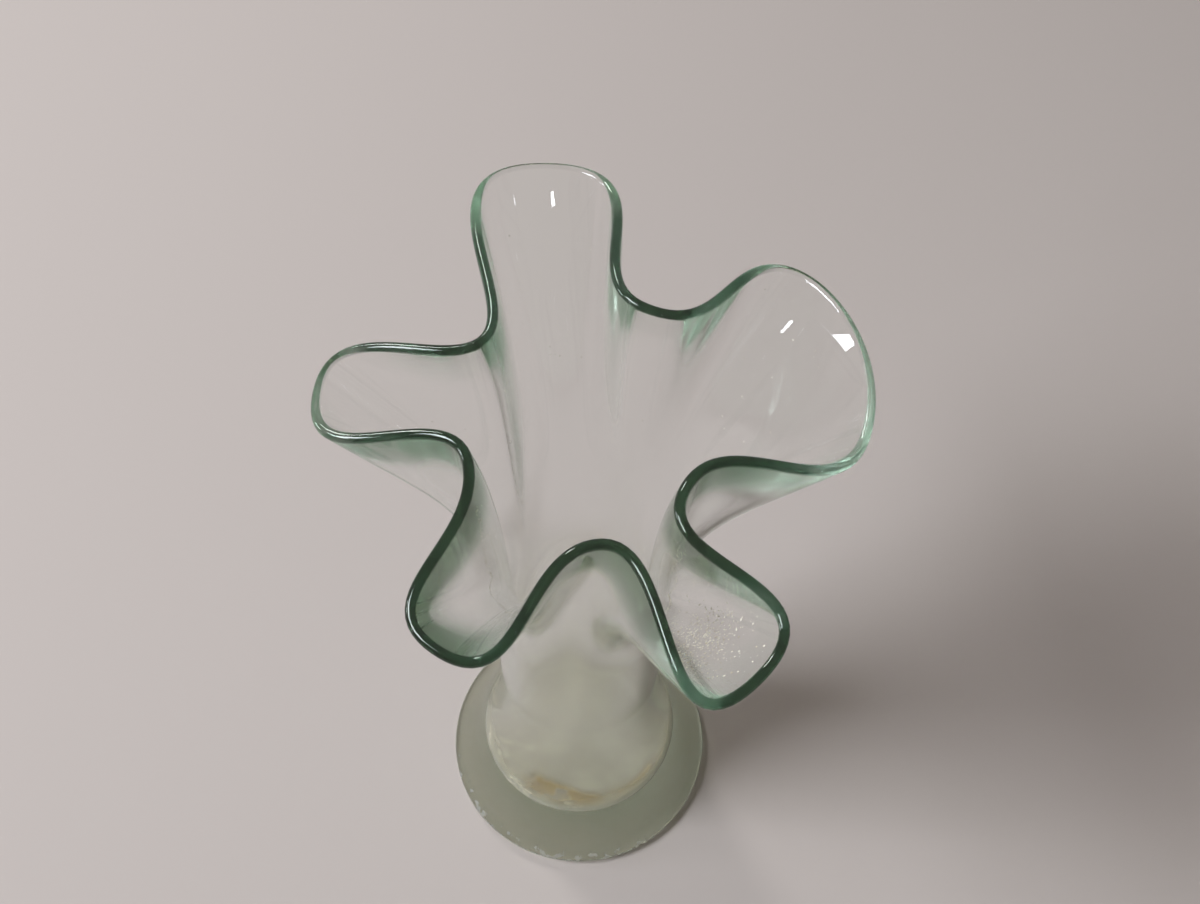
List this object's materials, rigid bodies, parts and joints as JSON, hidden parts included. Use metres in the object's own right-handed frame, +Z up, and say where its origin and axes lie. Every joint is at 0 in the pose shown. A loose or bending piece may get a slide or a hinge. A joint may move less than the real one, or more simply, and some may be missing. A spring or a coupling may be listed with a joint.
{
  "type": "bud vase",
  "caption": "Hand-worked bud vase in clear glass with a green tinge: a spread, thick-bottomed foot, a plain column and a flared mouth crimped into deep uneven lobes.",
  "frame": {"origin": "middle of the foot's flat standing face", "axes": "+Z up out of the standing face, +X to the right and -Y towards the viewer in the picture"},
  "size_m": [0.1065, 0.1168, 0.1981],
  "materials": {
    "glass": "clear soda-lime glass with a green tinge, fire-polished rim, ground standing face, lime marks in the bore"
  },
  "bodies": {
    "root": {"foot": "glass", "column": "glass", "mouth": "glass"}
  },
  "joints": []
}
